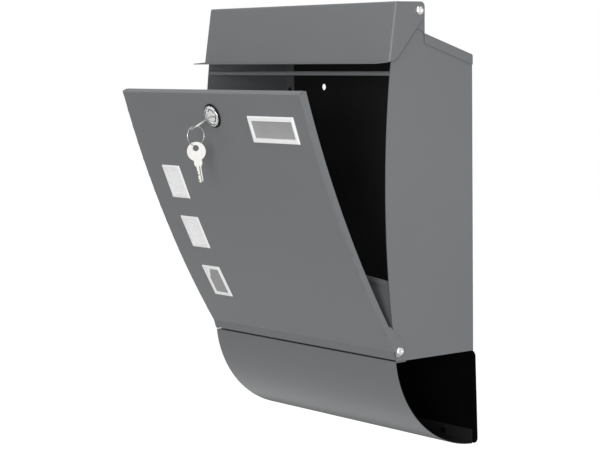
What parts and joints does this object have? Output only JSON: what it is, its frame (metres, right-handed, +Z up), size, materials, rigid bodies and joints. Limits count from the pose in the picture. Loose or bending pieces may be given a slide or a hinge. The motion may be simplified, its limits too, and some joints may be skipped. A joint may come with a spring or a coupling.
{
  "type": "wall mounted mailbox",
  "caption": "Wall mounted mailbox of folded sheet steel: lift-up letter flap, curved front door with a keyed cam lock, small windows, and an open newspaper holder below.",
  "frame": {"origin": "centre of the four wall holes, on the back face that touches the wall", "axes": "+X to the right of someone facing the front, +Y into the wall, +Z up"},
  "size_m": [0.3222, 0.2508, 0.4576],
  "materials": {
    "grey_powder_coat": "fine textured satin powder coat",
    "black_powder_coat": "matt black powder coat",
    "zinc_steel": "bright zinc plate",
    "frame_plastic": "satin moulded plastic",
    "frosted_acrylic": "frosted translucent acrylic",
    "black_plastic": "satin black moulding",
    "chrome_plate": "polished chrome plate",
    "nickel_key": "nickel plate, lightly brushed"
  },
  "bodies": {
    "body": {"back_panel": "black_powder_coat", "right_side": "grey_powder_coat", "left_side": "grey_powder_coat", "roof_cover": "grey_powder_coat", "header_bar": "grey_powder_coat", "letter_tray": "grey_powder_coat", "newspaper_tube": "grey_powder_coat", "shell_rivets": "zinc_steel", "flap_screws": "zinc_steel", "flap_nuts": "zinc_steel", "flap_washers": "zinc_steel", "door_screws": "zinc_steel", "door_nuts": "zinc_steel", "door_washers": "zinc_steel"},
    "flap": {"flap": "grey_powder_coat"},
    "door": {"door_panel": "grey_powder_coat", "name_frame": "frame_plastic", "name_pane": "frosted_acrylic", "window_frame_upper": "frame_plastic", "window_frame_middle": "frame_plastic", "window_frame_lower": "frame_plastic", "window_pane_upper": "frosted_acrylic", "window_pane_middle": "frosted_acrylic", "window_pane_lower": "frosted_acrylic", "lock_collar": "black_plastic", "lock_housing": "chrome_plate", "lock_nut": "zinc_steel"},
    "lock": {"lock_plug": "chrome_plate", "lock_cam": "zinc_steel", "cam_washer": "zinc_steel", "cam_screw": "zinc_steel", "key_in_lock": "nickel_key"},
    "ring": {"key_ring": "nickel_key"},
    "spare": {"spare_key": "nickel_key"}
  },
  "joints": [
    {"name": "door_hinge", "type": "hinge", "parent": "body", "child": "door", "pos_m": [0, -0.1027, -0.1666], "axis": [1, 0, 0], "range_deg": [-23.4, 0]},
    {"name": "flap_hinge", "type": "hinge", "parent": "body", "child": "flap", "pos_m": [0, -0.0742, 0.1733], "axis": [-1, 0, 0], "range_deg": [0, 70]},
    {"name": "lock_turn", "type": "hinge", "parent": "door", "child": "lock", "pos_m": [0.002, -0.21785, 0.07014], "axis": [0, 0.9523, 0.3051], "range_deg": [0, 90]},
    {"name": "ring_swing", "type": "hinge", "parent": "lock", "child": "ring", "pos_m": [0.00302, -0.23837, 0.06052], "axis": [0.3285, 0.4254, -0.8433], "range_deg": [-30, 30]},
    {"name": "spare_key_swing", "type": "hinge", "parent": "ring", "child": "spare", "pos_m": [0.00302, -0.24009, 0.03812], "axis": [-0.6947, 0.7193, 0], "range_deg": [-30, 30]}
  ]
}
